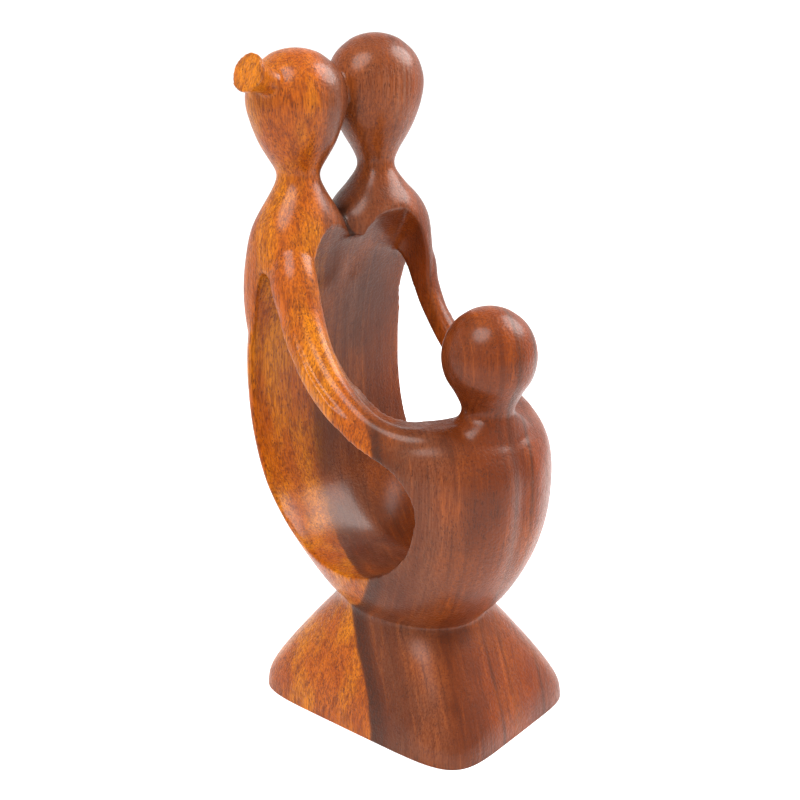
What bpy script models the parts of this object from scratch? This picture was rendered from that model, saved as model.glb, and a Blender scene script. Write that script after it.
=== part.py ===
"""Family group sculpture, carved from one block of hardwood.

Two parents stand side by side with their heads together. Their arms sweep
forward and down into the shoulders of a child at the front, so the bodies
make a hollow bowl that is open on top and under both arms. The bowl stands
on a flared base. X runs across the figures, the child faces -Y and Z is up.
The origin is on the underside, in the middle of the block.
"""
import bpy
import bmesh
import math
from mathutils import Matrix, Vector

# Driving sizes in metres
HEIGHT = 0.300
BASE_WIDTH = 0.095
BASE_DEPTH = 0.124
BASE_RIM = 0.007
BASE_TURN = math.radians(8.0)
WAIST_Z = 0.049
WAIST_WIDTH = 0.062
WAIST_DEPTH = 0.072
SIDE_WALL = 0.0095
CHEST_WALL = 0.0135
CHILD_WALL = 0.021
FLOOR_THICKNESS = 0.019
BUN_RADIUS = 0.0088
BUN_ROOT_RADIUS = 0.0056
BUN_LENGTH = 0.0135
GROOVE_DEPTH = 0.0022

# How finely the block is worked
GRAIN_STEP = 0.0011
SMOOTH_PASSES = 10
KEPT_SHARE = 0.0345
RING_POINTS = 96
LAYER_STEP = HEIGHT / 150

# The figures' proportions, as shares of the height
# Outer form of the bowl: height, half width, reach to the back, reach to the front
BOWL = (
    (0.163, 0.097, 0.110, 0.123),
    (0.203, 0.130, 0.146, 0.160),
    (0.263, 0.153, 0.204, 0.196),
    (0.317, 0.164, 0.229, 0.216),
    (0.367, 0.168, 0.240, 0.224),
    (0.420, 0.169, 0.245, 0.222),
    (0.457, 0.168, 0.247, 0.206),
    (0.480, 0.167, 0.248, 0.180),
    (0.500, 0.167, 0.248, 0.135),
    (0.560, 0.165, 0.245, 0.120),
    (0.610, 0.158, 0.238, 0.110),
    (0.650, 0.147, 0.222, 0.090),
    (0.690, 0.128, 0.190, 0.070),
)
# How square the bowl's plan is: height, exponent
BACK_SQUARENESS = ((0.163, 2.0), (0.263, 2.6), (0.367, 3.8), (0.480, 5.0), (0.570, 5.0), (0.690, 3.4))
FRONT_SQUARENESS = ((0.163, 2.0), (0.420, 2.1), (0.460, 2.0), (0.500, 1.5))

# One parent from the chest to the crown: height, half width, half depth
MOTHER = (
    (0.500, 0.056, 0.048),
    (0.560, 0.070, 0.060),
    (0.620, 0.075, 0.067),
    (0.690, 0.075, 0.065),
    (0.725, 0.071, 0.059),
    (0.752, 0.059, 0.051),
    (0.777, 0.042, 0.040),
    (0.797, 0.0325, 0.0315),
    (0.808, 0.0335, 0.0325),
    (0.827, 0.045, 0.043),
    (0.847, 0.057, 0.054),
    (0.880, 0.070, 0.065),
    (0.907, 0.0755, 0.070),
    (0.935, 0.070, 0.066),
    (0.957, 0.056, 0.053),
    (0.972, 0.036, 0.035),
)
MOTHER_CROWN = 0.980
FATHER = (
    (0.500, 0.056, 0.048),
    (0.560, 0.070, 0.060),
    (0.620, 0.077, 0.068),
    (0.690, 0.085, 0.068),
    (0.728, 0.086, 0.065),
    (0.756, 0.073, 0.057),
    (0.782, 0.046, 0.041),
    (0.807, 0.0285, 0.0285),
    (0.830, 0.037, 0.034),
    (0.850, 0.050, 0.045),
    (0.872, 0.062, 0.055),
    (0.901, 0.073, 0.064),
    (0.931, 0.078, 0.067),
    (0.958, 0.070, 0.062),
    (0.976, 0.057, 0.052),
    (0.991, 0.037, 0.035),
)
FATHER_CROWN = 1.000
CHEST_SQUARENESS = ((0.500, 4.4), (0.620, 3.8), (0.690, 2.7), (0.756, 2.0))
MOTHER_X = -0.073
MOTHER_Y = 0.171
FATHER_X = 0.069
FATHER_Y = 0.161
MOTHER_TORSO_X = -0.076
FATHER_TORSO_X = 0.073

# The child's neck and head: height, half width, half depth
CHILD = (
    (0.430, 0.090, 0.050),
    (0.460, 0.082, 0.048),
    (0.484, 0.058, 0.042),
    (0.500, 0.038, 0.036),
    (0.525, 0.046, 0.046),
    (0.550, 0.061, 0.061),
    (0.578, 0.0665, 0.0665),
    (0.606, 0.061, 0.061),
    (0.628, 0.047, 0.047),
    (0.641, 0.029, 0.029),
)
CHILD_CROWN = 0.648
CHILD_Y = -0.150

# Middle line and radius of each arm, from the shoulder to the child's front: X, Y, Z, radius
MOTHER_ARM = (
    (-0.096, 0.158, 0.715, 0.026),
    (-0.120, 0.126, 0.660, 0.036),
    (-0.126, 0.103, 0.610, 0.0325),
    (-0.131, 0.068, 0.565, 0.0260),
    (-0.135, 0.020, 0.522, 0.0215),
    (-0.134, -0.042, 0.486, 0.0190),
    (-0.122, -0.090, 0.469, 0.0210),
    (-0.096, -0.120, 0.460, 0.0280),
    (-0.064, -0.140, 0.455, 0.0320),
)
FATHER_ARM = (
    (0.100, 0.154, 0.715, 0.026),
    (0.126, 0.134, 0.660, 0.031),
    (0.131, 0.120, 0.615, 0.0265),
    (0.133, 0.088, 0.565, 0.0220),
    (0.136, 0.040, 0.520, 0.0195),
    (0.134, -0.025, 0.484, 0.0185),
    (0.122, -0.080, 0.468, 0.0210),
    (0.096, -0.118, 0.460, 0.0280),
    (0.064, -0.140, 0.455, 0.0320),
)

# Edge above which the front is cut away over each arm, seen from the side: Y, Z
MOTHER_FRONT_EDGE = (
    (0.115, 0.720),
    (0.105, 0.640),
    (0.068, 0.575),
    (0.018, 0.528),
    (-0.050, 0.494),
    (-0.120, 0.497),
    (-0.170, 0.493),
    (-0.220, 0.468),
    (-0.270, 0.430),
)
FATHER_FRONT_EDGE = (
    (0.125, 0.720),
    (0.118, 0.640),
    (0.090, 0.575),
    (0.040, 0.525),
    (-0.030, 0.491),
    (-0.120, 0.497),
    (-0.170, 0.493),
    (-0.220, 0.468),
    (-0.270, 0.430),
)

# Outline of the opening under each arm, seen from the side: Y, Z
MOTHER_OPENING = (
    (0.162, 0.667),
    (0.100, 0.580),
    (0.036, 0.510),
    (-0.042, 0.464),
    (-0.108, 0.435),
    (-0.138, 0.395),
    (-0.138, 0.350),
    (-0.118, 0.303),
    (-0.072, 0.264),
    (0.005, 0.245),
    (0.095, 0.262),
    (0.165, 0.330),
    (0.196, 0.440),
    (0.196, 0.560),
)
FATHER_OPENING = (
    (0.166, 0.668),
    (0.117, 0.580),
    (0.054, 0.507),
    (-0.026, 0.462),
    (-0.100, 0.432),
    (-0.136, 0.399),
    (-0.138, 0.362),
    (-0.118, 0.327),
    (-0.072, 0.315),
    (0.005, 0.300),
    (0.095, 0.312),
    (0.165, 0.350),
    (0.196, 0.440),
    (0.196, 0.560),
)

# Inner face of the two chests: height, reach to the back
INNER_BACK = (
    (0.500, 0.203),
    (0.560, 0.197),
    (0.600, 0.189),
    (0.640, 0.177),
    (0.670, 0.164),
    (0.690, 0.152),
    (0.708, 0.138),
    (0.725, 0.123),
    (0.740, 0.108),
    (0.755, 0.092),
)
# Rounded tops of the hollow: middle in X, half width, foot, where the rounding starts, top
MOTHER_ARCH = (-0.0430, 0.0586, 0.520, 0.650, 0.735)
FATHER_ARCH = (0.0550, 0.0656, 0.520, 0.655, 0.752)
# Where the hollow's roof stands between the two tops
MIDDLE_TOP = 0.700

# Where the bun leaves the mother's head: X, Y, Z
BUN_PLACE = (-0.136, 0.149, 0.934)
BUN_LEAN = math.radians(20)
BUN_TURN = math.radians(-8)

WOOD = (0.28, 0.085, 0.028, 1.0)


def shares(rows):
    """Rows of shares of the height, in metres."""
    return [tuple(value * HEIGHT for value in row) for row in rows]


def spline(rows, at):
    """Values at one place along rows whose first entry rises, by a smooth cubic."""
    last = len(rows) - 1
    if at <= rows[0][0]:
        return list(rows[0][1:])
    if at >= rows[last][0]:
        return list(rows[last][1:])
    i = max(k for k in range(last) if rows[k][0] <= at)
    span = rows[i + 1][0] - rows[i][0]
    t = (at - rows[i][0]) / span
    values = []
    for column in range(1, len(rows[0])):
        def slope(k):
            low = max(k - 1, 0)
            high = min(k + 1, last)
            return (rows[high][column] - rows[low][column]) / (rows[high][0] - rows[low][0])
        start = rows[i][column]
        end = rows[i + 1][column]
        start_slope = slope(i) * span
        end_slope = slope(i + 1) * span
        values.append(
            (2 * t**3 - 3 * t**2 + 1) * start
            + (t**3 - 2 * t**2 + t) * start_slope
            + (3 * t**2 - 2 * t**3) * end
            + (t**3 - t**2) * end_slope
        )
    return values


def curve_through(points, steps, closed=False):
    """Points on a smooth curve through the given ones."""
    count = len(points)
    last = count if closed else count - 1
    result = []
    for i in range(last):
        if closed:
            p = [Vector(points[(i + k) % count]) for k in (-1, 0, 1, 2)]
        else:
            p = [Vector(points[min(max(i + k, 0), count - 1)]) for k in (-1, 0, 1, 2)]
        for step in range(steps):
            t = step / steps
            result.append(
                0.5 * (
                    2 * p[1]
                    + (p[2] - p[0]) * t
                    + (2 * p[0] - 5 * p[1] + 4 * p[2] - p[3]) * t**2
                    + (3 * p[1] - p[0] - 3 * p[2] + p[3]) * t**3
                )
            )
    if not closed:
        result.append(Vector(points[-1]))
    return result


def power(value, exponent):
    """A signed power."""
    return math.copysign(abs(value) ** exponent, value)


def rings_object(name, rings):
    """A closed solid through rings of equally many points, with flat ends."""
    bm = bmesh.new()
    loops = [[bm.verts.new(point) for point in ring] for ring in rings]
    count = len(loops[0])
    for lower, upper in zip(loops, loops[1:]):
        for i in range(count):
            j = (i + 1) % count
            bm.faces.new((lower[i], lower[j], upper[j], upper[i]))
    bm.faces.new(list(reversed(loops[0])))
    bm.faces.new(loops[-1])
    bmesh.ops.recalc_face_normals(bm, faces=bm.faces)
    mesh = bpy.data.meshes.new(name)
    bm.to_mesh(mesh)
    bm.free()
    piece = bpy.data.objects.new(name, mesh)
    bpy.context.scene.collection.objects.link(piece)
    return piece


def plan_ring(z, half_width, back, front, back_power, front_power):
    """A level outline whose back and front half reach and round differently."""
    ring = []
    for k in range(RING_POINTS):
        angle = 2 * math.pi * k / RING_POINTS
        c = math.cos(angle)
        s = math.sin(angle)
        reach = back if s >= 0 else front
        n = back_power if s >= 0 else front_power
        ring.append(Vector((half_width * power(c, 2 / n), reach * power(s, 2 / n), z)))
    return ring


def bowl():
    """The outer form of the bodies, from the waist to the shoulders."""
    rows = shares(BOWL)
    low = rows[0][0]
    high = rows[-1][0]
    groove_middle = 0.38 * HEIGHT
    groove_reach = 0.10 * HEIGHT
    groove_width = 0.018 * HEIGHT
    layers = int((high - low) / LAYER_STEP)
    rings = []
    for layer in range(layers + 1):
        z = low + (high - low) * layer / layers
        half_width, back, front = spline(rows, z)
        back_power = spline(BACK_SQUARENESS, z / HEIGHT)[0]
        front_power = spline(FRONT_SQUARENESS, z / HEIGHT)[0]
        ring = plan_ring(z, half_width, back, front, back_power, front_power)
        depth = GROOVE_DEPTH * math.exp(-((z - groove_middle) / groove_reach) ** 2)
        for point in ring:
            if point.y < 0:
                point.y += depth * math.exp(-(point.x / groove_width) ** 2)
        rings.append(ring)
    waist = plan_ring(WAIST_Z - LAYER_STEP, WAIST_WIDTH / 2, WAIST_DEPTH / 2, WAIST_DEPTH / 2, 2, 2)
    return rings_object("bowl", [waist] + rings)


def inner_back(z):
    """How far back the hollow reaches at one height."""
    if z < INNER_BACK[0][0] * HEIGHT:
        return spline(shares(BOWL), z)[1] - CHEST_WALL
    return spline(shares(INNER_BACK), z)[0]


def middle_outline():
    """Outline of the hollow on the middle plane, point for point like the openings."""
    rows = shares(BOWL)
    floor = WAIST_Z + FLOOR_THICKNESS

    def back(share):
        return (inner_back(share * HEIGHT), share * HEIGHT)

    def front(share):
        return (CHILD_WALL - spline(rows, share * HEIGHT)[2], share * HEIGHT)
    return [
        (inner_back(MIDDLE_TOP * HEIGHT), MIDDLE_TOP * HEIGHT),
        (0.080 * HEIGHT, (MIDDLE_TOP - 0.010) * HEIGHT),
        (0.020 * HEIGHT, 0.620 * HEIGHT),
        (-0.050 * HEIGHT, 0.560 * HEIGHT),
        (-0.100 * HEIGHT, 0.500 * HEIGHT),
        (0.82 * front(0.450)[0], 0.450 * HEIGHT),
        (0.93 * front(0.380)[0], 0.380 * HEIGHT),
        (0.88 * front(0.310)[0], 0.310 * HEIGHT),
        (-0.078 * HEIGHT, floor + 0.026 * HEIGHT),
        (0.0, floor),
        (0.095 * HEIGHT, floor + 0.016 * HEIGHT),
        (0.93 * back(0.320)[0], 0.320 * HEIGHT),
        back(0.440),
        back(0.560),
    ]


def tunnel():
    """The hollow under the arms: it runs from one opening through to the other."""
    reach = 0.30 * HEIGHT
    wall = max(row[1] for row in BOWL) * HEIGHT - SIDE_WALL
    middle = middle_outline()
    ends = {-1: shares(MOTHER_OPENING), 1: shares(FATHER_OPENING)}
    rings = []
    steps = 48
    for step in range(steps + 1):
        x = reach * (2 * step / steps - 1)
        end = ends[-1 if x < 0 else 1]
        t = min(abs(x) / wall, 1.0)
        blend = t * t * (3 - 2 * t)
        outline = [
            (m[0] + (e[0] - m[0]) * blend, m[1] + (e[1] - m[1]) * blend, 0.0)
            for m, e in zip(middle, end)
        ]
        rings.append([Vector((x, p.x, p.y)) for p in curve_through(outline, 8, closed=True)])
    return rings_object("tunnel", rings)


def arch(rows):
    """A space between the arms, with a rounded top in front of the chests."""
    middle, widest, low, spring, high = [value * HEIGHT for value in rows]
    fade = 0.15 * HEIGHT
    layers = int((high - low) / (0.5 * LAYER_STEP))
    rings = []
    for layer in range(layers):
        z = low + (high - low) * layer / layers
        rise = max(z - spring, 0.0) / (high - spring)
        half_width = widest * math.sqrt(1 - rise**2)
        short = max(low + fade - z, 0.0) / fade
        back = inner_back(z) - 0.03 * HEIGHT * short**2
        ring = plan_ring(z, half_width, back, 0.10 * HEIGHT, 6.0, 6.0)
        rings.append([point + Vector((middle, 0, 0)) for point in ring])
    return rings_object("arch", rings)


def side_prism(name, outline, x_from, x_to):
    """A solid between two X places with an outline given as Y, Z."""
    start = [Vector((x_from, y, z)) for y, z in outline]
    end = [Vector((x_to, y, z)) for y, z in outline]
    return rings_object(name, [start, end])


def front_cut(edge, x_from, x_to):
    """All that lies above and in front of one arm."""
    rows = [(y * HEIGHT, z * HEIGHT, 0.0) for y, z in edge]
    outline = [(p.x, p.y) for p in curve_through(rows, 8)]
    outline.append((-0.5 * HEIGHT, outline[-1][1]))
    outline.append((-0.5 * HEIGHT, 0.9 * HEIGHT))
    outline.append((outline[0][0], 0.9 * HEIGHT))
    return side_prism("front_cut", outline, x_from, x_to)


def standing_form(name, rows, crown, x_of, y_of, plan=((0.0, 2.0), (1.0, 2.0))):
    """A turned form with an elliptical plan, closed to a point at its crown."""
    rows = shares(rows)
    low = rows[0][0]
    high = rows[-1][0]
    layers = int((high - low) / LAYER_STEP)
    rings = []
    for layer in range(layers + 1):
        z = low + (high - low) * layer / layers
        half_width, half_depth = spline(rows, z)
        squareness = spline(plan, z / HEIGHT)[0]
        ring = plan_ring(z, half_width, half_depth, half_depth, squareness, squareness)
        shift = Vector((x_of(z), y_of(z), 0))
        rings.append([point + shift for point in ring])
    top = crown * HEIGHT
    half_width, half_depth = spline(rows, high)
    for share in (0.35, 0.6, 0.8, 0.93, 0.985):
        shrink = math.sqrt(1 - share**2)
        z = high + (top - high) * share
        ring = plan_ring(z, half_width * shrink, half_depth * shrink, half_depth * shrink, 2, 2)
        shift = Vector((x_of(z), y_of(z), 0))
        rings.append([point + shift for point in ring])
    return rings_object(name, rings)


def parent(name, rows, crown, torso_x, head_x, head_y):
    """One parent, whose chest stands a little further out than the neck."""

    def across(z):
        blend = min(max((z / HEIGHT - 0.66) / 0.12, 0.0), 1.0)
        blend = blend * blend * (3 - 2 * blend)
        return HEIGHT * (torso_x + (head_x - torso_x) * blend)
    return standing_form(name, rows, crown, across, lambda z: head_y * HEIGHT, CHEST_SQUARENESS)


def child():
    return standing_form("child", CHILD, CHILD_CROWN, lambda z: 0.0, lambda z: CHILD_Y * HEIGHT)


def arm(rows):
    """A round limb along the arm's middle line."""
    steps = 8
    rows = shares(rows)
    path = curve_through([row[:3] for row in rows], steps)
    radii = [(float(i), row[3]) for i, row in enumerate(rows)]
    rings = []
    for i, point in enumerate(path):
        ahead = path[min(i + 1, len(path) - 1)]
        behind = path[max(i - 1, 0)]
        along = (ahead - behind).normalized()
        across = Vector((1, 0, 0))
        across = (across - along * across.dot(along)).normalized()
        up = along.cross(across)
        ring = []
        for k in range(24):
            angle = 2 * math.pi * k / 24
            radius = spline(radii, i / steps)[0]
            ring.append(point + radius * (math.cos(angle) * across + math.sin(angle) * up))
        rings.append(ring)
    return rings_object("arm", rings)


def bun():
    """The mother's bun: a short peg that widens to a flat round end."""
    along = Vector((
        -math.cos(BUN_LEAN) * math.cos(BUN_TURN),
        math.cos(BUN_LEAN) * math.sin(BUN_TURN),
        math.sin(BUN_LEAN),
    ))
    surface = Vector(BUN_PLACE) * HEIGHT
    frame = along.to_track_quat("Z", "Y").to_matrix().to_4x4()
    rows = (
        (-0.5 * BUN_LENGTH, BUN_ROOT_RADIUS),
        (0.35 * BUN_LENGTH, BUN_ROOT_RADIUS * 1.05),
        (1.00 * BUN_LENGTH, BUN_RADIUS),
    )
    rings = []
    for layer in range(13):
        z = rows[0][0] + (rows[-1][0] - rows[0][0]) * layer / 12
        radius = spline(rows, z)[0]
        ring = plan_ring(z, radius, radius, radius, 2, 2)
        rings.append([surface + frame.to_3x3() @ point for point in ring])
    return rings_object("bun", rings)


def base():
    """The flared base: a rounded rectangle that sweeps up into the waist."""
    below = BASE_RIM
    slope = WAIST_Z - BASE_RIM
    rows = (
        (-below, 1.000, 6.0),
        (0.0, 1.000, 6.0),
        (BASE_RIM, 0.985, 5.5),
        (BASE_RIM + 0.15 * slope, 0.90, 4.8),
        (BASE_RIM + 0.40 * slope, 0.66, 4.0),
        (BASE_RIM + 0.70 * slope, 0.33, 3.0),
        (WAIST_Z, 0.0, 2.2),
        (WAIST_Z + 0.20 * slope, 0.03, 2.0),
    )
    low = rows[0][0]
    high = rows[-1][0]
    layers = int((high - low) / LAYER_STEP)
    turn = Matrix.Rotation(BASE_TURN, 3, "Z")
    rings = []
    for layer in range(layers + 1):
        z = low + (high - low) * layer / layers
        flare, squareness = spline(rows, z)
        half_width = (WAIST_WIDTH + (BASE_WIDTH - WAIST_WIDTH) * flare) / 2
        half_depth = (WAIST_DEPTH + (BASE_DEPTH - WAIST_DEPTH) * flare) / 2
        ring = plan_ring(z, half_width, half_depth, half_depth, squareness, squareness)
        rings.append([turn @ point for point in ring])
    return rings_object("base", rings)


def combine(piece, other, operation):
    """Join another solid to the piece, or cut with it."""
    modifier = piece.modifiers.new(operation.lower(), "BOOLEAN")
    modifier.operation = operation
    modifier.solver = "EXACT"
    modifier.object = other
    other.hide_render = True
    other.display_type = "WIRE"
    other.hide_set(True)


def wood():
    material = bpy.data.materials.new("oiled wood")
    material.use_nodes = True
    shader = material.node_tree.nodes["Principled BSDF"]
    shader.inputs["Base Color"].default_value = WOOD
    shader.inputs["Roughness"].default_value = 0.33
    shader.inputs["Metallic"].default_value = 0.0
    return material


def floor_block():
    """What would lie under the underside."""
    reach = 2 * max(BASE_WIDTH, BASE_DEPTH)
    outline = [(-reach, -reach), (reach, -reach), (reach, 0.0), (-reach, 0.0)]
    return side_prism("floor_block", outline, -reach, reach)


def family_group():
    body = bowl()
    body.name = "family_group"
    reach = 0.3 * HEIGHT
    combine(body, front_cut(MOTHER_FRONT_EDGE, -reach, GRAIN_STEP), "DIFFERENCE")
    combine(body, front_cut(FATHER_FRONT_EDGE, -GRAIN_STEP, reach), "DIFFERENCE")
    for rows in (MOTHER_ARM, FATHER_ARM):
        combine(body, arm(rows), "UNION")
    mother = parent("mother", MOTHER, MOTHER_CROWN, MOTHER_TORSO_X, MOTHER_X, MOTHER_Y)
    father = parent("father", FATHER, FATHER_CROWN, FATHER_TORSO_X, FATHER_X, FATHER_Y)
    combine(body, mother, "UNION")
    combine(body, father, "UNION")
    combine(body, tunnel(), "DIFFERENCE")
    for rows in (MOTHER_ARCH, FATHER_ARCH):
        combine(body, arch(rows), "DIFFERENCE")
    for piece in (child(), bun(), base()):
        combine(body, piece, "UNION")
    remesh = body.modifiers.new("carve", "REMESH")
    remesh.mode = "VOXEL"
    remesh.voxel_size = GRAIN_STEP
    smooth = body.modifiers.new("sand", "SMOOTH")
    smooth.factor = 0.5
    smooth.iterations = SMOOTH_PASSES
    thin = body.modifiers.new("thin", "DECIMATE")
    thin.ratio = KEPT_SHARE
    combine(body, floor_block(), "DIFFERENCE")
    body.data.materials.append(wood())


for old in list(bpy.data.objects):
    bpy.data.objects.remove(old, do_unlink=True)
family_group()
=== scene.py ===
"""The carved family group, dressed for the picture.

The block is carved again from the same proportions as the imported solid, at a
finer grain, and takes its place. Its wood has golden sapwood on the mother's
side, a dark line where the heartwood starts, and brown-red heartwood beyond.
"""
import bmesh
import bpy
import math
from mathutils import Matrix, Vector


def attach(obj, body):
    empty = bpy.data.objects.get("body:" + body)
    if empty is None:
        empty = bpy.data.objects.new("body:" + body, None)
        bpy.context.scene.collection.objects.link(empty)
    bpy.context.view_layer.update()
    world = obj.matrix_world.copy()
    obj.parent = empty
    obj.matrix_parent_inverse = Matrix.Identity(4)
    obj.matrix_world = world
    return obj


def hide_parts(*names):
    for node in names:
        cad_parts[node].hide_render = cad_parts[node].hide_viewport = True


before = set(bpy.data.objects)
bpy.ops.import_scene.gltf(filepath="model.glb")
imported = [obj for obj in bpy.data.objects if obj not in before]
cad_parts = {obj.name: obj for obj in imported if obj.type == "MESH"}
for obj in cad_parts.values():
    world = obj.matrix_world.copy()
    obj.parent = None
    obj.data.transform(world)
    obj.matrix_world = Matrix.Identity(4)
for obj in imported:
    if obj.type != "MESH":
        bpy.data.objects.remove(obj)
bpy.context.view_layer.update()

# Driving sizes in metres, and the base's turn
HEIGHT = 0.300
BASE_WIDTH = 0.095
BASE_DEPTH = 0.124
BASE_RIM = 0.007
BASE_TURN = math.radians(8.0)
WAIST_Z = 0.049
WAIST_WIDTH = 0.062
WAIST_DEPTH = 0.072
SIDE_WALL = 0.0095
CHEST_WALL = 0.0135
CHILD_WALL = 0.021
FLOOR_THICKNESS = 0.019
BUN_RADIUS = 0.0088
BUN_ROOT_RADIUS = 0.0056
BUN_LENGTH = 0.0135
GROOVE_DEPTH = 0.0022

# How finely the block is worked: grain, sanding, share of the triangles kept, steps
GRAIN_STEP = 0.0007
SMOOTH_FACTOR = 0.5
SMOOTH_PASSES = 22
KEPT_SHARE = 0.27
RING_POINTS = 96
ARM_POINTS = 24
CURVE_STEPS = 8
TUNNEL_STEPS = 48
BUN_STEPS = 12
LAYER_STEP = HEIGHT / 200
# Where the crown's rings stand, as shares of the way from the last ring to the top
CROWN_SHARES = (0.35, 0.6, 0.8, 0.93, 0.985)

# The figures' proportions follow, as shares of the height

# Outer form of the bowl: height, half width, reach to the back, reach to the front
BOWL = (
    (0.163, 0.097, 0.110, 0.123),
    (0.203, 0.130, 0.146, 0.160),
    (0.263, 0.153, 0.204, 0.196),
    (0.317, 0.164, 0.229, 0.216),
    (0.367, 0.168, 0.240, 0.224),
    (0.420, 0.169, 0.245, 0.222),
    (0.457, 0.168, 0.247, 0.206),
    (0.480, 0.167, 0.248, 0.180),
    (0.500, 0.167, 0.248, 0.135),
    (0.560, 0.165, 0.245, 0.120),
    (0.610, 0.158, 0.238, 0.110),
    (0.650, 0.147, 0.222, 0.090),
    (0.690, 0.128, 0.190, 0.070),
)
# How square the bowl's plan is: height, exponent
BACK_SQUARENESS = (
    (0.163, 2.0),
    (0.263, 2.6),
    (0.367, 3.8),
    (0.480, 5.0),
    (0.570, 5.0),
    (0.690, 3.4),
)
FRONT_SQUARENESS = ((0.163, 2.0), (0.420, 2.1), (0.460, 2.0), (0.500, 1.5))

# Shallow groove down the bowl's front: height of its middle, half its length, half its width
GROOVE_MIDDLE = 0.38
GROOVE_REACH = 0.10
GROOVE_WIDTH = 0.018

# One parent from the chest to the crown: height, half width, half depth
MOTHER = (
    (0.500, 0.056, 0.048),
    (0.560, 0.070, 0.060),
    (0.620, 0.075, 0.067),
    (0.690, 0.075, 0.065),
    (0.725, 0.071, 0.059),
    (0.752, 0.059, 0.051),
    (0.777, 0.042, 0.040),
    (0.797, 0.0325, 0.0315),
    (0.808, 0.0335, 0.0325),
    (0.827, 0.045, 0.043),
    (0.847, 0.057, 0.054),
    (0.880, 0.070, 0.065),
    (0.907, 0.0755, 0.070),
    (0.935, 0.070, 0.066),
    (0.957, 0.056, 0.053),
    (0.972, 0.036, 0.035),
)
MOTHER_CROWN = 0.980
FATHER = (
    (0.500, 0.056, 0.048),
    (0.560, 0.070, 0.060),
    (0.620, 0.077, 0.068),
    (0.690, 0.085, 0.068),
    (0.728, 0.086, 0.065),
    (0.756, 0.073, 0.057),
    (0.782, 0.046, 0.041),
    (0.807, 0.0285, 0.0285),
    (0.830, 0.037, 0.034),
    (0.850, 0.050, 0.045),
    (0.872, 0.062, 0.055),
    (0.901, 0.073, 0.064),
    (0.931, 0.078, 0.067),
    (0.958, 0.070, 0.062),
    (0.976, 0.057, 0.052),
    (0.991, 0.037, 0.035),
)
FATHER_CROWN = 1.000
# How square the chests' plan is: height, exponent
CHEST_SQUARENESS = ((0.500, 4.4), (0.620, 3.8), (0.690, 2.7), (0.756, 2.0))
# Where each parent's head stands, and where the chest stands in X
MOTHER_X = -0.073
MOTHER_Y = 0.171
FATHER_X = 0.069
FATHER_Y = 0.161
MOTHER_TORSO_X = -0.076
FATHER_TORSO_X = 0.073
# Where the chest's place starts to turn into the head's, and over what height
SHOULDER_Z = 0.66
SHOULDER_SPAN = 0.12

# The child's neck and head: height, half width, half depth
CHILD = (
    (0.430, 0.090, 0.050),
    (0.460, 0.082, 0.048),
    (0.484, 0.058, 0.042),
    (0.500, 0.038, 0.036),
    (0.525, 0.046, 0.046),
    (0.550, 0.061, 0.061),
    (0.578, 0.0665, 0.0665),
    (0.606, 0.061, 0.061),
    (0.628, 0.047, 0.047),
    (0.641, 0.029, 0.029),
)
CHILD_CROWN = 0.648
CHILD_Y = -0.150

# Middle line and radius of each arm, from the shoulder to the child's front: X, Y, Z, radius
MOTHER_ARM = (
    (-0.096, 0.158, 0.715, 0.026),
    (-0.120, 0.126, 0.660, 0.036),
    (-0.126, 0.103, 0.610, 0.0325),
    (-0.131, 0.068, 0.565, 0.0260),
    (-0.135, 0.020, 0.522, 0.0215),
    (-0.134, -0.042, 0.486, 0.0190),
    (-0.122, -0.090, 0.469, 0.0210),
    (-0.096, -0.120, 0.460, 0.0280),
    (-0.064, -0.138, 0.456, 0.0310),
    (-0.020, -0.150, 0.455, 0.0320),
)
FATHER_ARM = (
    (0.100, 0.154, 0.715, 0.026),
    (0.126, 0.134, 0.660, 0.031),
    (0.131, 0.120, 0.615, 0.0265),
    (0.133, 0.088, 0.565, 0.0220),
    (0.136, 0.040, 0.520, 0.0195),
    (0.134, -0.025, 0.484, 0.0185),
    (0.122, -0.080, 0.468, 0.0210),
    (0.096, -0.118, 0.460, 0.0280),
    (0.064, -0.138, 0.456, 0.0310),
    (0.020, -0.150, 0.455, 0.0320),
)

# Edge above which the front is cut away over each arm, seen from the side: Y, Z
MOTHER_FRONT_EDGE = (
    (0.115, 0.720),
    (0.105, 0.640),
    (0.068, 0.575),
    (0.018, 0.524),
    (-0.050, 0.488),
    (-0.120, 0.487),
    (-0.170, 0.487),
    (-0.220, 0.468),
    (-0.270, 0.430),
)
FATHER_FRONT_EDGE = (
    (0.125, 0.720),
    (0.118, 0.640),
    (0.090, 0.575),
    (0.040, 0.525),
    (-0.030, 0.489),
    (-0.120, 0.487),
    (-0.170, 0.487),
    (-0.220, 0.468),
    (-0.270, 0.430),
)

# Outline of the opening under each arm, seen from the side: Y, Z
MOTHER_OPENING = (
    (0.162, 0.667),
    (0.100, 0.580),
    (0.036, 0.510),
    (-0.042, 0.464),
    (-0.108, 0.435),
    (-0.138, 0.395),
    (-0.138, 0.350),
    (-0.118, 0.303),
    (-0.072, 0.264),
    (0.005, 0.245),
    (0.095, 0.262),
    (0.165, 0.330),
    (0.196, 0.440),
    (0.196, 0.560),
)
FATHER_OPENING = (
    (0.166, 0.668),
    (0.117, 0.580),
    (0.054, 0.507),
    (-0.026, 0.462),
    (-0.100, 0.432),
    (-0.136, 0.399),
    (-0.138, 0.362),
    (-0.118, 0.327),
    (-0.072, 0.315),
    (0.005, 0.300),
    (0.095, 0.312),
    (0.165, 0.350),
    (0.196, 0.440),
    (0.196, 0.560),
)

# Inner face of the two chests: height, reach to the back
INNER_BACK = (
    (0.500, 0.203),
    (0.560, 0.197),
    (0.600, 0.189),
    (0.640, 0.177),
    (0.670, 0.164),
    (0.690, 0.152),
    (0.708, 0.138),
    (0.725, 0.123),
    (0.740, 0.108),
    (0.755, 0.092),
)
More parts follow.
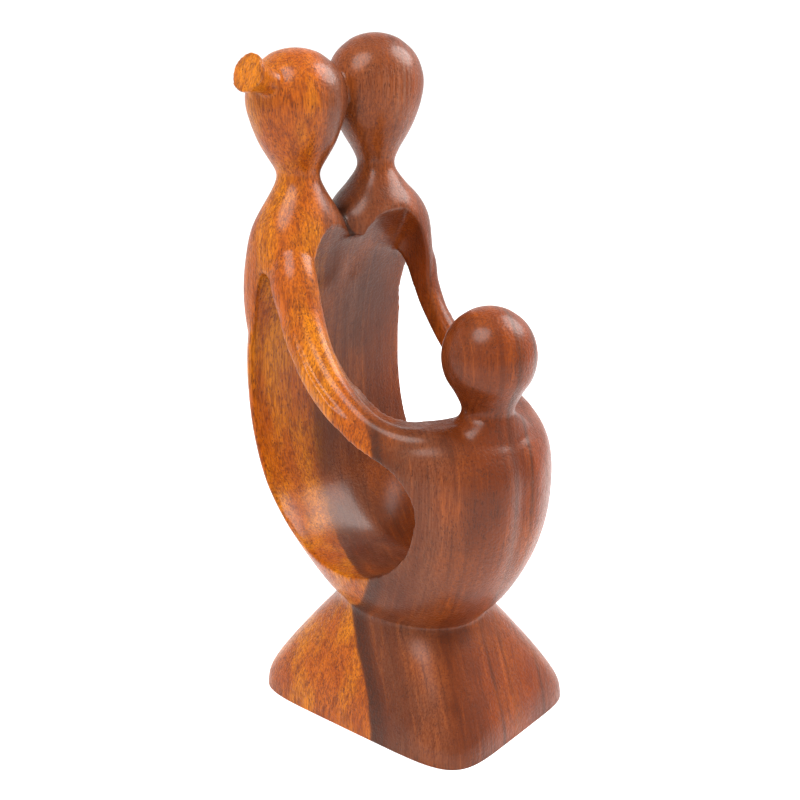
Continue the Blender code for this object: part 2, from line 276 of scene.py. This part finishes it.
# Rounded tops of the hollow: middle in X, half width, foot, where the rounding starts, top
MOTHER_ARCH = (-0.0430, 0.0586, 0.520, 0.650, 0.735)
FATHER_ARCH = (0.0550, 0.0656, 0.520, 0.655, 0.752)
# Their reach to the front, and how much less they reach back at the foot, over what height
ARCH_FRONT = 0.10
ARCH_SHORT = 0.03
ARCH_FADE = 0.15
ARCH_SQUARENESS = 6.0
# Where the hollow's roof stands between the two tops
MIDDLE_TOP = 0.700
# How far cutters reach out of the block: to the sides, to the front and up
CUT_REACH = 0.30
CUT_FRONT = -0.5
CUT_TOP = 0.9

# Where the bun leaves the mother's head: X, Y, Z
BUN_PLACE = (-0.136, 0.149, 0.934)
BUN_LEAN = math.radians(20)
BUN_TURN = math.radians(-8)

# Edges sharper than this stay sharp
SHARP_EDGE = math.radians(50)

# The wood's layers: the direction across them, and how far their colours reach each way
ACROSS_X = 0.912
ACROSS_Y = -0.410
LAYER_REACH = 0.080
# How far the layers wander over the block and quiver close by, in metres
WANDER = 0.010
QUIVER = 0.0022
# Distances across the layers between which sapwood turns to heartwood, softly or crisply
SOFT_TURN = (-0.0400, -0.0250)
CRISP_TURN = (-0.0335, -0.0318)
# Distances between which the dark line comes and goes
LINE_COMES = (-0.0336, -0.0324)
LINE_GOES = (-0.0308, -0.0270)
# The turn and its line grow crisp towards the base and towards the front
CRISP_DOWN = (0.085, 0.062)
CRISP_FORWARD = (-0.012, -0.028)
# Places between which the painted sheen in the upper hollow fades in, from each side
SHEEN_UP = (0.170, 0.205)
SHEEN_FRONT = (-0.010, 0.004)
SHEEN_BACK = (0.034, 0.022)
SHEEN_RIGHT = (0.034, 0.022)
SHEEN_LEFT = (-0.030, -0.016)
# The painted shade along the crease between the chests: its middle, how it bends in X, the squared
# distance from that curve between which it fades in, and the places where it fades in from each end
CREASE_SHADE_X = -0.0041
CREASE_SHADE_Z = 0.219
CREASE_SHADE_BEND = 60.0
CREASE_SHADE_SIDES = (1.6e-6, 0.2e-6)
CREASE_SHADE_BACK = (0.060, 0.054)
CREASE_SHADE_FOOT = (0.2105, 0.2130)
CREASE_SHADE_HEAD = (0.2285, 0.2230)

# The floor: points to a ring, each ring's distance from the middle and height, and its glow
FLOOR_POINTS = 64
FLOOR_SWEEP = (
    (1.2, 0.0),
    (1.7, 0.02),
    (2.2, 0.12),
    (2.7, 0.40),
    (3.1, 0.90),
    (3.4, 1.70),
    (3.5, 2.60),
)
FLOOR_GLOW = 0.24

# Strength of the light from all round
WORLD_LIGHT = 0.60
# Each light's name, place, size and power in watts, all aimed at one point
LIT_POINT = (0.0, 0.0, 0.15)
LIGHTS = (
    ("right softbox", (0.68, -0.26, 0.84), 0.70, 14.0),
    ("left softbox", (-0.56, -0.12, 1.05), 0.70, 13.0),
)

# The photograph's view: place, turn from the back towards the right, and drop below level
CAMERA_PLACE = (-0.3478, -0.3703, 0.3043)
CAMERA_TURN = math.radians(42.5)
CAMERA_DROP = math.radians(17.5)
LENS_MM = 54
SENSOR_MM = 36
NEAR_CLIP = 0.01

# Every piece used while carving, cleared away afterwards
carving_pieces = []


def shares(rows):
    """Rows of shares of the height, in metres."""
    return [tuple(value * HEIGHT for value in row) for row in rows]


def spline(rows, at):
    """Values at one place along rows whose first entry rises, by a smooth cubic."""
    last = len(rows) - 1
    if at <= rows[0][0]:
        return list(rows[0][1:])
    if at >= rows[last][0]:
        return list(rows[last][1:])
    i = max(k for k in range(last) if rows[k][0] <= at)
    span = rows[i + 1][0] - rows[i][0]
    t = (at - rows[i][0]) / span
    values = []
    for column in range(1, len(rows[0])):
        def slope(k):
            low = max(k - 1, 0)
            high = min(k + 1, last)
            return (rows[high][column] - rows[low][column]) / (rows[high][0] - rows[low][0])
        start = rows[i][column]
        end = rows[i + 1][column]
        start_slope = slope(i) * span
        end_slope = slope(i + 1) * span
        values.append(
            (2 * t**3 - 3 * t**2 + 1) * start
            + (t**3 - 2 * t**2 + t) * start_slope
            + (3 * t**2 - 2 * t**3) * end
            + (t**3 - t**2) * end_slope
        )
    return values


def curve_through(points, steps, closed=False):
    """Points on a smooth curve through the given ones."""
    count = len(points)
    last = count if closed else count - 1
    result = []
    for i in range(last):
        if closed:
            p = [Vector(points[(i + k) % count]) for k in (-1, 0, 1, 2)]
        else:
            p = [Vector(points[min(max(i + k, 0), count - 1)]) for k in (-1, 0, 1, 2)]
        for step in range(steps):
            t = step / steps
            result.append(
                0.5 * (
                    2 * p[1]
                    + (p[2] - p[0]) * t
                    + (2 * p[0] - 5 * p[1] + 4 * p[2] - p[3]) * t**2
                    + (3 * p[1] - p[0] - 3 * p[2] + p[3]) * t**3
                )
            )
    if not closed:
        result.append(Vector(points[-1]))
    return result


def power(value, exponent):
    """A signed power."""
    return math.copysign(abs(value) ** exponent, value)


def rings_object(name, rings):
    """A closed solid through rings of equally many points, with flat ends."""
    bm = bmesh.new()
    loops = [[bm.verts.new(point) for point in ring] for ring in rings]
    count = len(loops[0])
    for lower, upper in zip(loops, loops[1:]):
        for i in range(count):
            j = (i + 1) % count
            bm.faces.new((lower[i], lower[j], upper[j], upper[i]))
    bm.faces.new(list(reversed(loops[0])))
    bm.faces.new(loops[-1])
    bmesh.ops.recalc_face_normals(bm, faces=bm.faces)
    mesh = bpy.data.meshes.new(name)
    bm.to_mesh(mesh)
    bm.free()
    piece = bpy.data.objects.new(name, mesh)
    bpy.context.scene.collection.objects.link(piece)
    carving_pieces.append(piece)
    return piece


def plan_ring(z, half_width, back, front, back_power, front_power):
    """A level outline whose back and front half reach and round differently."""
    ring = []
    for k in range(RING_POINTS):
        angle = 2 * math.pi * k / RING_POINTS
        c = math.cos(angle)
        s = math.sin(angle)
        reach = back if s >= 0 else front
        n = back_power if s >= 0 else front_power
        ring.append(Vector((half_width * power(c, 2 / n), reach * power(s, 2 / n), z)))
    return ring


def bowl():
    """The outer form of the bodies, from the waist to the shoulders."""
    rows = shares(BOWL)
    low = rows[0][0]
    high = rows[-1][0]
    groove_middle = GROOVE_MIDDLE * HEIGHT
    groove_reach = GROOVE_REACH * HEIGHT
    groove_width = GROOVE_WIDTH * HEIGHT
    layers = int((high - low) / LAYER_STEP)
    rings = []
    for layer in range(layers + 1):
        z = low + (high - low) * layer / layers
        half_width, back, front = spline(rows, z)
        back_power = spline(BACK_SQUARENESS, z / HEIGHT)[0]
        front_power = spline(FRONT_SQUARENESS, z / HEIGHT)[0]
        ring = plan_ring(z, half_width, back, front, back_power, front_power)
        depth = GROOVE_DEPTH * math.exp(-((z - groove_middle) / groove_reach) ** 2)
        for point in ring:
            if point.y < 0:
                point.y += depth * math.exp(-(point.x / groove_width) ** 2)
        rings.append(ring)
    waist = plan_ring(WAIST_Z - LAYER_STEP, WAIST_WIDTH / 2, WAIST_DEPTH / 2, WAIST_DEPTH / 2, 2, 2)
    return rings_object("bowl", [waist] + rings)


def inner_back(z):
    """How far back the hollow reaches at one height."""
    if z < INNER_BACK[0][0] * HEIGHT:
        return spline(shares(BOWL), z)[1] - CHEST_WALL
    return spline(shares(INNER_BACK), z)[0]


def middle_outline():
    """Outline of the hollow on the middle plane, point for point like the openings."""
    rows = shares(BOWL)
    floor = WAIST_Z + FLOOR_THICKNESS

    def back(share):
        return (inner_back(share * HEIGHT), share * HEIGHT)

    def front(share):
        return (CHILD_WALL - spline(rows, share * HEIGHT)[2], share * HEIGHT)
    return [
        (inner_back(MIDDLE_TOP * HEIGHT), MIDDLE_TOP * HEIGHT),
        (0.080 * HEIGHT, (MIDDLE_TOP - 0.010) * HEIGHT),
        (0.020 * HEIGHT, 0.620 * HEIGHT),
        (-0.050 * HEIGHT, 0.560 * HEIGHT),
        (-0.100 * HEIGHT, 0.500 * HEIGHT),
        (0.82 * front(0.450)[0], 0.450 * HEIGHT),
        (0.93 * front(0.380)[0], 0.380 * HEIGHT),
        (0.88 * front(0.310)[0], 0.310 * HEIGHT),
        (-0.078 * HEIGHT, floor + 0.026 * HEIGHT),
        (0.0, floor),
        (0.095 * HEIGHT, floor + 0.016 * HEIGHT),
        (0.93 * back(0.320)[0], 0.320 * HEIGHT),
        back(0.440),
        back(0.560),
    ]


def tunnel():
    """The hollow under the arms: it runs from one opening through to the other."""
    reach = CUT_REACH * HEIGHT
    wall = max(row[1] for row in BOWL) * HEIGHT - SIDE_WALL
    middle = middle_outline()
    ends = {-1: shares(MOTHER_OPENING), 1: shares(FATHER_OPENING)}
    rings = []
    for step in range(TUNNEL_STEPS + 1):
        x = reach * (2 * step / TUNNEL_STEPS - 1)
        end = ends[-1 if x < 0 else 1]
        t = min(abs(x) / wall, 1.0)
        blend = t * t * (3 - 2 * t)
        outline = [
            (m[0] + (e[0] - m[0]) * blend, m[1] + (e[1] - m[1]) * blend, 0.0)
            for m, e in zip(middle, end)
        ]
        curve = curve_through(outline, CURVE_STEPS, closed=True)
        rings.append([Vector((x, p.x, p.y)) for p in curve])
    return rings_object("tunnel", rings)


def arch(rows):
    """A space in front of one chest, with a rounded top."""
    middle, widest, low, spring, high = [value * HEIGHT for value in rows]
    fade = ARCH_FADE * HEIGHT
    front = ARCH_FRONT * HEIGHT
    layers = int((high - low) / (0.5 * LAYER_STEP))
    rings = []
    for layer in range(layers):
        z = low + (high - low) * layer / layers
        rise = max(z - spring, 0.0) / (high - spring)
        half_width = widest * math.sqrt(1 - rise**2)
        short = max(low + fade - z, 0.0) / fade
        back = inner_back(z) - ARCH_SHORT * HEIGHT * short**2
        ring = plan_ring(z, half_width, back, front, ARCH_SQUARENESS, ARCH_SQUARENESS)
        rings.append([point + Vector((middle, 0, 0)) for point in ring])
    return rings_object("arch", rings)


def side_prism(name, outline, x_from, x_to):
    """A solid between two X places with an outline given as Y, Z."""
    start = [Vector((x_from, y, z)) for y, z in outline]
    end = [Vector((x_to, y, z)) for y, z in outline]
    return rings_object(name, [start, end])


def front_cut(edge, x_from, x_to):
    """All that lies above and in front of one arm."""
    rows = [(y * HEIGHT, z * HEIGHT, 0.0) for y, z in edge]
    outline = [(p.x, p.y) for p in curve_through(rows, CURVE_STEPS)]
    outline.append((CUT_FRONT * HEIGHT, outline[-1][1]))
    outline.append((CUT_FRONT * HEIGHT, CUT_TOP * HEIGHT))
    outline.append((outline[0][0], CUT_TOP * HEIGHT))
    return side_prism("front_cut", outline, x_from, x_to)


def standing_form(name, rows, crown, x_of, y_of, plan=((0.0, 2.0), (1.0, 2.0))):
    """A form of level rings round a standing line, closed by a rounded crown."""
    rows = shares(rows)
    low = rows[0][0]
    high = rows[-1][0]
    layers = int((high - low) / LAYER_STEP)
    rings = []
    for layer in range(layers + 1):
        z = low + (high - low) * layer / layers
        half_width, half_depth = spline(rows, z)
        squareness = spline(plan, z / HEIGHT)[0]
        ring = plan_ring(z, half_width, half_depth, half_depth, squareness, squareness)
        shift = Vector((x_of(z), y_of(z), 0))
        rings.append([point + shift for point in ring])
    top = crown * HEIGHT
    half_width, half_depth = spline(rows, high)
    for share in CROWN_SHARES:
        shrink = math.sqrt(1 - share)
        z = high + (top - high) * share
        ring = plan_ring(z, half_width * shrink, half_depth * shrink, half_depth * shrink, 2, 2)
        shift = Vector((x_of(z), y_of(z), 0))
        rings.append([point + shift for point in ring])
    return rings_object(name, rings)


def parent(name, rows, crown, torso_x, head_x, head_y):
    """One parent, whose chest stands a little further out than the neck."""

    def across(z):
        blend = min(max((z / HEIGHT - SHOULDER_Z) / SHOULDER_SPAN, 0.0), 1.0)
        blend = blend * blend * (3 - 2 * blend)
        return HEIGHT * (torso_x + (head_x - torso_x) * blend)
    return standing_form(name, rows, crown, across, lambda z: head_y * HEIGHT, CHEST_SQUARENESS)


def child():
    """The child's neck and head."""
    return standing_form("child", CHILD, CHILD_CROWN, lambda z: 0.0, lambda z: CHILD_Y * HEIGHT)


def arm(rows):
    """A round limb along the arm's middle line."""
    rows = shares(rows)
    path = curve_through([row[:3] for row in rows], CURVE_STEPS)
    radii = [(float(i), row[3]) for i, row in enumerate(rows)]
    rings = []
    for i, point in enumerate(path):
        ahead = path[min(i + 1, len(path) - 1)]
        behind = path[max(i - 1, 0)]
        along = (ahead - behind).normalized()
        across = Vector((1, 0, 0))
        across = (across - along * across.dot(along)).normalized()
        up = along.cross(across)
        radius = spline(radii, i / CURVE_STEPS)[0]
        ring = []
        for k in range(ARM_POINTS):
            angle = 2 * math.pi * k / ARM_POINTS
            ring.append(point + radius * (math.cos(angle) * across + math.sin(angle) * up))
        rings.append(ring)
    return rings_object("arm", rings)


def bun():
    """The mother's bun: a short peg that widens to a flat round end."""
    along = Vector((
        -math.cos(BUN_LEAN) * math.cos(BUN_TURN),
        math.cos(BUN_LEAN) * math.sin(BUN_TURN),
        math.sin(BUN_LEAN),
    ))
    surface = Vector(BUN_PLACE) * HEIGHT
    axes = along.to_track_quat("Z", "Y").to_matrix()
    rows = (
        (-0.5 * BUN_LENGTH, BUN_ROOT_RADIUS),
        (0.35 * BUN_LENGTH, BUN_ROOT_RADIUS * 1.05),
        (1.00 * BUN_LENGTH, BUN_RADIUS),
    )
    rings = []
    for layer in range(BUN_STEPS + 1):
        z = rows[0][0] + (rows[-1][0] - rows[0][0]) * layer / BUN_STEPS
        radius = spline(rows, z)[0]
        ring = plan_ring(z, radius, radius, radius, 2, 2)
        rings.append([surface + axes @ point for point in ring])
    return rings_object("bun", rings)


def base():
    """The flared base: a rounded rectangle that sweeps up into the waist."""
    below = BASE_RIM
    slope = WAIST_Z - BASE_RIM
    rows = (
        (-below, 1.000, 6.0),
        (0.0, 1.000, 6.0),
        (BASE_RIM, 0.985, 5.5),
        (BASE_RIM + 0.15 * slope, 0.90, 4.8),
        (BASE_RIM + 0.40 * slope, 0.66, 4.0),
        (BASE_RIM + 0.70 * slope, 0.33, 3.0),
        (WAIST_Z, 0.0, 2.2),
        (WAIST_Z + 0.20 * slope, 0.03, 2.0),
    )
    low = rows[0][0]
    high = rows[-1][0]
    layers = int((high - low) / LAYER_STEP)
    turn = Matrix.Rotation(BASE_TURN, 3, "Z")
    rings = []
    for layer in range(layers + 1):
        z = low + (high - low) * layer / layers
        flare, squareness = spline(rows, z)
        half_width = (WAIST_WIDTH + (BASE_WIDTH - WAIST_WIDTH) * flare) / 2
        half_depth = (WAIST_DEPTH + (BASE_DEPTH - WAIST_DEPTH) * flare) / 2
        ring = plan_ring(z, half_width, half_depth, half_depth, squareness, squareness)
        rings.append([turn @ point for point in ring])
    return rings_object("base", rings)


def combine(piece, other, operation):
    """Join another solid to the piece, or cut with it."""
    modifier = piece.modifiers.new(operation.lower(), "BOOLEAN")
    modifier.operation = operation
    modifier.solver = "EXACT"
    modifier.object = other


def floor_block():
    """What would lie under the underside."""
    reach = 2 * max(BASE_WIDTH, BASE_DEPTH)
    outline = [(-reach, -reach), (reach, -reach), (reach, 0.0), (-reach, 0.0)]
    return side_prism("floor_block", outline, -reach, reach)


def family_group():
    """The whole carving, as a body with the cuts and joins that carve it."""
    body = bowl()
    reach = CUT_REACH * HEIGHT
    combine(body, front_cut(MOTHER_FRONT_EDGE, -reach, GRAIN_STEP), "DIFFERENCE")
    combine(body, front_cut(FATHER_FRONT_EDGE, -GRAIN_STEP, reach), "DIFFERENCE")
    for rows in (MOTHER_ARM, FATHER_ARM):
        combine(body, arm(rows), "UNION")
    mother = parent("mother", MOTHER, MOTHER_CROWN, MOTHER_TORSO_X, MOTHER_X, MOTHER_Y)
    father = parent("father", FATHER, FATHER_CROWN, FATHER_TORSO_X, FATHER_X, FATHER_Y)
    combine(body, mother, "UNION")
    combine(body, father, "UNION")
    combine(body, tunnel(), "DIFFERENCE")
    for rows in (MOTHER_ARCH, FATHER_ARCH):
        combine(body, arch(rows), "DIFFERENCE")
    for piece in (child(), bun(), base()):
        combine(body, piece, "UNION")
    remesh = body.modifiers.new("carve", "REMESH")
    remesh.mode = "VOXEL"
    remesh.voxel_size = GRAIN_STEP
    smooth = body.modifiers.new("sand", "SMOOTH")
    smooth.factor = SMOOTH_FACTOR
    smooth.iterations = SMOOTH_PASSES
    thin = body.modifiers.new("thin", "DECIMATE")
    thin.ratio = KEPT_SHARE
    combine(body, floor_block(), "DIFFERENCE")
    return body


def carved_family():
    """The finished carving as one plain mesh."""
    body = family_group()
    bpy.context.view_layer.update()
    graph = bpy.context.evaluated_depsgraph_get()
    mesh = bpy.data.meshes.new_from_object(body.evaluated_get(graph))
    for piece in carving_pieces:
        bpy.data.objects.remove(piece, do_unlink=True)
    mesh.shade_smooth()
    mesh.set_sharp_from_angle(angle=SHARP_EDGE)
    carving = bpy.data.objects.new("carved_family", mesh)
    bpy.context.scene.collection.objects.link(carving)
    return carving


class Strand:
    """A value in a finish. Sums and products of strands add their own Math nodes."""

    def __init__(self, finish, socket):
        self.finish = finish
        self.socket = socket

    def reckon(self, operation, first, second):
        """A new strand from one Math node."""
        return self.finish.node("ShaderNodeMath", {"operation": operation}, {0: first, 1: second})

    def __add__(self, other):
        return self.reckon("ADD", self, other)

    def __radd__(self, other):
        return self.reckon("ADD", other, self)

    def __sub__(self, other):
        return self.reckon("SUBTRACT", self, other)

    def __rsub__(self, other):
        return self.reckon("SUBTRACT", other, self)

    def __mul__(self, other):
        return self.reckon("MULTIPLY", self, other)

    def __rmul__(self, other):
        return self.reckon("MULTIPLY", other, self)


class Finish:
    """A material on the Principled shader, built node by node."""

    def __init__(self, name):
        self.material = bpy.data.materials.new(name)
        self.material.use_nodes = True
        self.tree = self.material.node_tree
        self.shader = self.tree.nodes["Principled BSDF"]
        self.here = []

    def feed(self, socket, value):
        """Set a socket's value, or link a strand to it."""
        if isinstance(value, Strand):
            self.tree.links.new(value.socket, socket)
        else:
            socket.default_value = value

    def node(self, kind, settings, sockets, output=0):
        """A new strand from any node, made with its settings and sockets."""
        made = self.tree.nodes.new(kind)
        for key, value in settings.items():
            if key == "stops":
                ramp = made.color_ramp
                while len(ramp.elements) < len(value):
                    ramp.elements.new(1.0)
                for element, (place, colour) in zip(ramp.elements, value):
                    element.position = place
                    element.color = colour
            else:
                setattr(made, key, value)
        for key, value in sockets.items():
            self.feed(made.inputs[key], value)
        return Strand(self, made.outputs[output])

    def surface(self, **values):
        """Feed the Principled shader's sockets, which are named with underscores for spaces."""
        for key, value in values.items():
            self.feed(self.shader.inputs[key.replace("_", " ")], value)

    def place(self):
        """The three Object coordinates, in metres, kept for the grain."""
        here = self.node("ShaderNodeTexCoord", {}, {}, 3)
        split = "ShaderNodeSeparateXYZ"
        self.here = [self.node(split, {}, {0: here}, axis) for axis in range(3)]
        return self.here

    def noise(self, x, y, z, detail=2.0, roughness=0.5):
        """Smooth noise, from 0 to 1, of values already scaled to its grain."""
        sockets = {
            "Vector": self.node("ShaderNodeCombineXYZ", {}, {0: x, 1: y, 2: z}),
            "Scale": 1.0,
            "Detail": detail,
            "Roughness": roughness,
        }
        return self.node("ShaderNodeTexNoise", {}, sockets)

    def grain(self, across, up, detail=2.0, roughness=0.5):
        """Noise of the place, by how often a metre it changes across the block and up it."""
        x, y, z = self.here
        return self.noise(x * across, y * across, z * up, detail, roughness)

    def step(self, value, low, high, start=0.0, end=1.0):
        """A smooth step of a value from one end to the other."""
        settings = {"interpolation_type": "SMOOTHSTEP", "clamp": True}
        sockets = {0: value, 1: low, 2: high, 3: start, 4: end}
        return self.node("ShaderNodeMapRange", settings, sockets)

    def blend(self, share, below, above):
        """One colour laid over another."""
        return self.node("ShaderNodeMix", {"data_type": "RGBA"}, {0: share, 6: below, 7: above}, 2)


def paint(red, green, blue):
    """A colour given in screen values from 0 to 255, as the shader wants it."""
    def linear(value):
        value = value / 255
        if value <= 0.04045:
            return value / 12.92
        return ((value + 0.055) / 1.055) ** 2.4
    return (linear(red), linear(green), linear(blue), 1.0)


def heartwood(wood, across):
    """Brown-red wood in layers, with lighter and darker clouds."""
    settings = {"clamp": True}
    sockets = {0: across, 1: -LAYER_REACH, 2: LAYER_REACH, 3: 0.0, 4: 1.0}
    share = wood.node("ShaderNodeMapRange", settings, sockets)
    colour = wood.node("ShaderNodeValToRGB", {"stops": heart_stops()}, {0: share})
    cloud = wood.grain(30.0, 18.0, 3.0)
    colour = wood.blend(wood.step(cloud, 0.47, 0.64) * 0.55, colour, paint(142, 66, 14))
    return wood.blend(wood.step(cloud, 0.48, 0.32) * 0.60, colour, paint(74, 28, 12))


def heart_stops():
    """The heartwood's colour from one side of the block to the other, with thin dark lines."""
    rows = (
        (-0.0800, paint(104, 42, 12)),
        (-0.0310, paint(84, 38, 18)),
        (-0.0250, paint(92, 48, 28)),
        (-0.0120, paint(108, 56, 32)),
        (0.0000, paint(100, 44, 16)),
        (0.0120, paint(108, 44, 10)),
        (0.0215, paint(118, 48, 8)),
        (0.0228, paint(54, 22, 8)),
        (0.0245, paint(116, 46, 8)),
        (0.0310, paint(118, 46, 6)),
        (0.0322, paint(60, 24, 8)),
        (0.0340, paint(118, 46, 6)),
        (0.0495, paint(118, 46, 6)),
        (0.0507, paint(74, 30, 8)),
        (0.0525, paint(116, 46, 6)),
        (0.0800, paint(112, 44, 6)),
    )
    return [((across + LAYER_REACH) / (2 * LAYER_REACH), colour) for across, colour in rows]


def sapwood(wood):
    """Honey and amber wood with rust flames and a fine umber mottle."""
    blotch = wood.grain(46.0, 18.0, 3.0)
    flame = wood.grain(170.0, 42.0, 3.0, 0.6)
    mottle = wood.grain(520.0, 150.0, 2.0, 0.6)
    colour = wood.blend(wood.step(blotch, 0.40, 0.60), paint(190, 108, 8), paint(166, 80, 8))
    colour = wood.blend(wood.step(flame, 0.46, 0.66) * 0.42, colour, paint(132, 50, 6))
    return wood.blend(wood.step(mottle, 0.48, 0.66) * 0.45, colour, paint(106, 38, 6))


def oiled_wood():
    """One block of hardwood: golden sapwood, a dark line, brown-red heartwood."""
    wood = Finish("oiled hardwood")
    x, y, z = wood.place()
    wander = wood.grain(11.0, 5.0) - 0.5
    quiver = wood.grain(70.0, 16.0, 3.0) - 0.5
    # Distance across the growth layers in metres: sapwood is below the turn, heartwood above
    across = x * ACROSS_X + y * ACROSS_Y + wander * WANDER + quiver * QUIVER
    along = y * ACROSS_X - x * ACROSS_Y

    # The turn is crisp on the base and along the front, and soft in the hollow and on the head
    crisp = wood.step(wood.step(z, *CRISP_DOWN) + wood.step(y, *CRISP_FORWARD), 0.0, 1.0)
    soft_sap = wood.step(across, *SOFT_TURN, 1.0, 0.0)
    crisp_sap = wood.step(across, *CRISP_TURN, 1.0, 0.0)
    sap = soft_sap + crisp * (crisp_sap - soft_sap)
    colour = wood.blend(sap, heartwood(wood, across), sapwood(wood))

    # Growth layers show as long soft streaks
    streak = wood.noise(across * 620.0, along * 60.0, z * 11.0, 3.0, 0.65)
    broad = wood.noise(across * 120.0, along * 12.0, z * 4.0, 2.0)
    dark_streak = wood.step(streak, 0.50, 0.68) * (0.48 - sap * 0.30)
    broad_streak = wood.step(broad, 0.50, 0.68) * (0.34 - sap * 0.20)
    pale_streak = wood.step(streak, 0.46, 0.28) * 0.16
    colour = wood.blend(dark_streak, colour, paint(62, 26, 14))
    colour = wood.blend(broad_streak, colour, paint(84, 34, 14))
    colour = wood.blend(pale_streak, colour, paint(190, 96, 34))

    # The dark line where sapwood meets heartwood
    line = wood.step(across, *LINE_COMES) * wood.step(across, *LINE_GOES, 1.0, 0.0)
    colour = wood.blend(line * (crisp * 0.65 + 0.20), colour, paint(50, 24, 16))

    # A paler painted sheen in the upper part of the hollow stands in for a reflection
    painted_sheen = wood.step(z, *SHEEN_UP) * wood.step(y, *SHEEN_FRONT) * wood.step(y, *SHEEN_BACK)
    painted_sheen = painted_sheen * wood.step(x, *SHEEN_RIGHT) * wood.step(x, *SHEEN_LEFT)
    painted_sheen = painted_sheen * wood.step(streak, 0.40, 0.62)
    colour = wood.blend(painted_sheen * 0.42, colour, paint(196, 146, 118))

    # Open pores: short dark flecks along the grain, and a fine fibre between them
    pore_field = wood.grain(220.0, 60.0) - 0.5
    pore = wood.step(wood.grain(2300.0, 380.0, 1.0) + pore_field * 0.30, 0.60, 0.70)
    fibre = wood.grain(1300.0, 90.0, 2.0, 0.6)
    colour = wood.blend(pore * (0.64 + sap * 0.06), colour, paint(60, 24, 8))
    colour = wood.blend(wood.step(fibre, 0.42, 0.62, 0.0, 0.50), colour, paint(84, 32, 8))

    # Painted shade darkens the cut between the two chests where it runs down into the notch, as a
    # narrow dark crease
    lean = z - CREASE_SHADE_Z
    aside = x - CREASE_SHADE_X - lean * lean * CREASE_SHADE_BEND
    crease_shade = wood.step(aside * aside, *CREASE_SHADE_SIDES) * wood.step(y, *CREASE_SHADE_BACK)
    crease_shade = crease_shade * wood.step(z, *CREASE_SHADE_FOOT) * wood.step(z, *CREASE_SHADE_HEAD)
    colour = wood.blend(crease_shade * 0.85, colour, paint(34, 12, 6))

    # Thin edges get a painted highlight and are a little paler, and the deepest creases get painted
    # shade and are darker
    edge = wood.node("ShaderNodeNewGeometry", {}, {}, 7)
    # painted highlight on thin edges
    colour = wood.blend(wood.step(edge, 0.56, 0.70) * 0.50, colour, paint(222, 146, 56))
    # painted shade in the deepest creases
    colour = wood.blend(wood.step(edge, 0.46, 0.34) * 0.8, colour, paint(40, 16, 8))

    # Relief of the sanded surface: fine tool marks, fibres, broad ripples and sunk pores
    tool_mark = wood.grain(900.0, 900.0, 1.0)
    ripple = wood.grain(140.0, 110.0, 1.0)
    height = tool_mark * 1.5 + fibre * 0.45 + ripple * 2.4 - pore * 0.9
    bump = {"Strength": 0.8, "Distance": 0.00030, "Height": height}
    wood.surface(
        Base_Color=colour,
        Roughness=0.36 + streak * 0.10 + pore * 0.20,
        Normal=wood.node("ShaderNodeBump", {}, bump),
        Specular_IOR_Level=0.12,
        Specular_Tint=(1.0, 0.55, 0.25, 1.0),
        Coat_Weight=0.32,
        Coat_Roughness=0.24,
    )
    return wood.material


def pale_floor():
    """A pale floor that sweeps up on all sides."""
    paper = Finish("pale paper")
    paper.surface(
        Base_Color=(0.95, 0.95, 0.95, 1.0),
        Roughness=0.8,
        Emission_Color=(1.0, 1.0, 1.0, 1.0),
        Emission_Strength=FLOOR_GLOW,
    )
    bm = bmesh.new()
    rings = []
    for reach, height in FLOOR_SWEEP:
        ring = []
        for k in range(FLOOR_POINTS):
            angle = 2 * math.pi * k / FLOOR_POINTS
            ring.append(bm.verts.new((reach * math.cos(angle), reach * math.sin(angle), height)))
        rings.append(ring)
    bm.faces.new(rings[0])
    for inner, outer in zip(rings, rings[1:]):
        for k in range(FLOOR_POINTS):
            j = (k + 1) % FLOOR_POINTS
            bm.faces.new((inner[k], outer[k], outer[j], inner[j]))
    mesh = bpy.data.meshes.new("floor")
    bm.to_mesh(mesh)
    bm.free()
    mesh.shade_smooth()
    mesh.materials.append(paper.material)
    floor = bpy.data.objects.new("floor", mesh)
    bpy.context.scene.collection.objects.link(floor)


def studio():
    """An even white light from all round, and two soft lights above."""
    # The Standard view keeps the wood's strong colours
    bpy.context.scene.view_settings.view_transform = "Standard"
    world = bpy.data.worlds.new("studio")
    world.use_nodes = True
    background = world.node_tree.nodes["Background"]
    background.inputs["Color"].default_value = (1.0, 1.0, 1.0, 1.0)
    background.inputs["Strength"].default_value = WORLD_LIGHT
    bpy.context.scene.world = world

    for name, place, size, power_w in LIGHTS:
        light = bpy.data.lights.new(name, "AREA")
        light.shape = "DISK"
        light.size = size
        light.energy = power_w
        lamp = bpy.data.objects.new(name, light)
        lamp.location = place
        aim = Vector(LIT_POINT) - Vector(place)
        lamp.rotation_euler = aim.to_track_quat("-Z", "Y").to_euler()
        bpy.context.scene.collection.objects.link(lamp)


def camera():
    """The photograph's view: from the mother's side, a little above."""
    data = bpy.data.cameras.new("camera")
    data.lens = LENS_MM
    data.sensor_width = SENSOR_MM
    data.clip_start = NEAR_CLIP
    eye = bpy.data.objects.new("camera", data)
    ahead = Vector((
        math.sin(CAMERA_TURN) * math.cos(CAMERA_DROP),
        math.cos(CAMERA_TURN) * math.cos(CAMERA_DROP),
        -math.sin(CAMERA_DROP),
    ))
    eye.location = CAMERA_PLACE
    eye.rotation_euler = ahead.to_track_quat("-Z", "Y").to_euler()
    bpy.context.scene.collection.objects.link(eye)
    bpy.context.scene.camera = eye


camera()
pale_floor()
studio()
carving = carved_family()
carving.data.materials.clear()
carving.data.materials.append(oiled_wood())
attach(carving, "root")
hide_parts("family_group")
